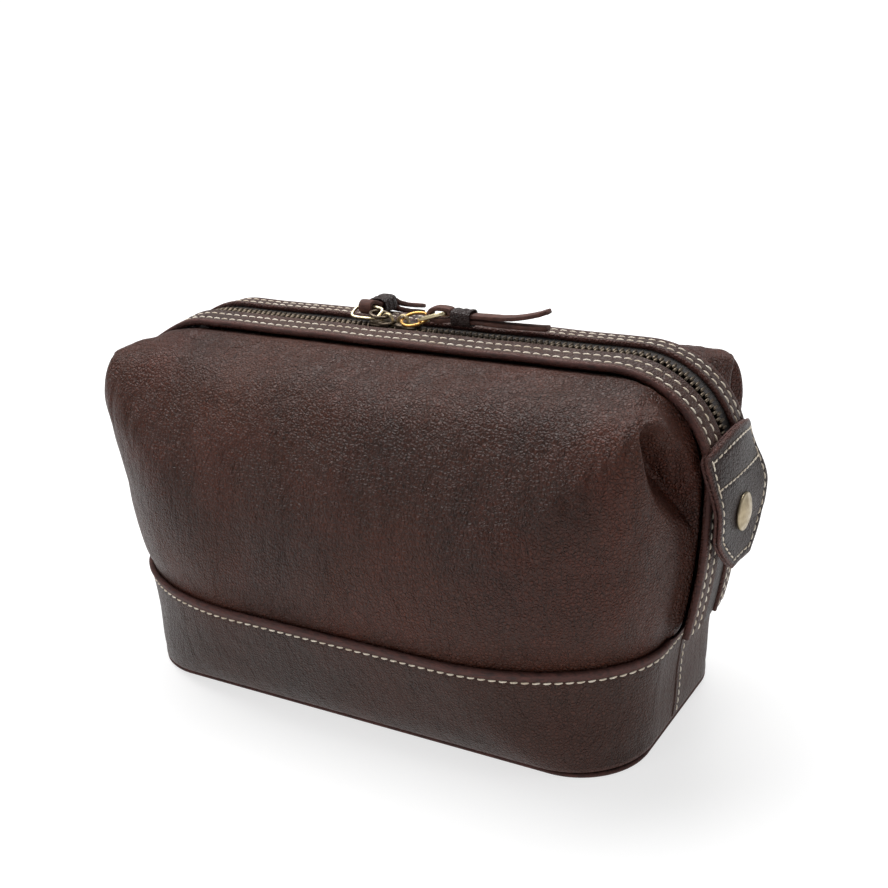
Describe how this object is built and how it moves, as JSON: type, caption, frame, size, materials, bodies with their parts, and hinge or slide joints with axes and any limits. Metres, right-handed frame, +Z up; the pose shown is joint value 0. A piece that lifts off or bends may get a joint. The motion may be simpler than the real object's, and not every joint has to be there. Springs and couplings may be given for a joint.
{
  "type": "shaving kit bag",
  "caption": "Leather shaving kit bag with a zip mouth, sliders with leather pulls, and end tabs that fasten with snaps.",
  "frame": {"origin": "middle of the bag's bottom, on the floor it stands on", "axes": "+X along the bag, -Y out of its front, +Z up"},
  "size_m": [0.291, 0.1504, 0.1647],
  "materials": {
    "brown_leather": "satin",
    "dark_leather": "satin",
    "lining_fabric": "matte",
    "stiff_board": "matte",
    "zip_tape": "matte",
    "antique_brass": "brushed",
    "dark_brass": "satin"
  },
  "bodies": {
    "shell": {"bottom_panel": "brown_leather", "base_board": "stiff_board", "base_band": "brown_leather", "front_panel": "brown_leather", "back_panel": "brown_leather", "front_shoulder": "brown_leather", "back_shoulder": "brown_leather", "lining": "lining_fabric", "front_lining_top": "lining_fabric", "back_lining_top": "lining_fabric", "end_strip_left": "brown_leather", "end_strip_right": "brown_leather", "tab_anchor_left": "dark_leather", "snap_stud_left": "dark_brass", "snap_post_left": "dark_brass", "tab_anchor_right": "dark_leather", "snap_stud_right": "dark_brass", "snap_post_right": "dark_brass"},
    "front_mouth": {"front_facing": "brown_leather", "front_tape": "zip_tape", "front_teeth": "dark_brass"},
    "back_mouth": {"back_facing": "brown_leather", "back_tape": "zip_tape", "back_teeth": "dark_brass"},
    "slider_left": {"slider_left": "antique_brass"},
    "link_left": {"link_ring_left": "antique_brass"},
    "ring_left": {"oval_ring_left": "antique_brass"},
    "pull_left": {"leather_pull_left": "dark_leather", "pull_collar_left": "dark_leather"},
    "tab_left": {"tab_flap_left": "dark_leather", "tab_backing_left": "dark_leather", "snap_cap_left": "antique_brass", "snap_socket_left": "dark_brass"},
    "slider_right": {"slider_right": "antique_brass"},
    "link_right": {"link_ring_right": "antique_brass"},
    "ring_right": {"oval_ring_right": "antique_brass"},
    "pull_right": {"leather_pull_right": "dark_leather", "pull_collar_right": "dark_leather"},
    "tab_right": {"tab_flap_right": "dark_leather", "tab_backing_right": "dark_leather", "snap_cap_right": "antique_brass", "snap_socket_right": "dark_brass"}
  },
  "joints": [
    {"name": "front_mouth_hinge", "type": "hinge", "parent": "shell", "child": "front_mouth", "pos_m": [0, -0.03, 0.067], "axis": [1, 0, 0], "range_deg": [0, 22], "deforming": ["front_shoulder", "front_lining_top"]},
    {"name": "back_mouth_hinge", "type": "hinge", "parent": "shell", "child": "back_mouth", "pos_m": [0, 0.03, 0.067], "axis": [-1, 0, 0], "range_deg": [0, 22], "deforming": ["back_shoulder", "back_lining_top"]},
    {"name": "slider_left_slide", "type": "slide", "parent": "back_mouth", "child": "slider_left", "axis": [-1, 0, 0], "range_m": [0, 0.072]},
    {"name": "link_left_hinge", "type": "hinge", "parent": "slider_left", "child": "link_left", "pos_m": [-0.01, 0, 0.1553], "axis": [0, 1, 0], "range_deg": [0, 90]},
    {"name": "ring_left_hinge", "type": "hinge", "parent": "link_left", "child": "ring_left", "pos_m": [-0.01746, 0, 0.15675], "axis": [1, 0, 0], "range_deg": [0, 6]},
    {"name": "pull_left_hinge", "type": "hinge", "parent": "ring_left", "child": "pull_left", "pos_m": [-0.0215, 0.00326, 0.15782], "axis": [1, 0, 0], "range_deg": [0, 70]},
    {"name": "slider_right_slide", "type": "slide", "parent": "back_mouth", "child": "slider_right", "axis": [1, 0, 0], "range_m": [0, 0.088]},
    {"name": "link_right_hinge", "type": "hinge", "parent": "slider_right", "child": "link_right", "pos_m": [-0.0024, 0, 0.1553], "axis": [0.009, -0.9659, -0.2588], "range_deg": [0, 90]},
    {"name": "ring_right_hinge", "type": "hinge", "parent": "link_right", "child": "ring_right", "pos_m": [0.00839, 0, 0.15568], "axis": [0, -1, 0], "range_deg": [0, 8]},
    {"name": "pull_right_hinge", "type": "hinge", "parent": "ring_right", "child": "pull_right", "pos_m": [0.01848, 0.0006, 0.15901], "axis": [0, -1, 0], "range_deg": [0, 8]},
    {"name": "tab_left_fold", "type": "hinge", "parent": "shell", "child": "tab_left", "pos_m": [-0.14045, 0, 0.108], "axis": [0, 1, 0], "range_deg": [0, 110]},
    {"name": "tab_right_fold", "type": "hinge", "parent": "shell", "child": "tab_right", "pos_m": [0.14045, 0, 0.108], "axis": [0, -1, 0], "range_deg": [0, 110]}
  ]
}
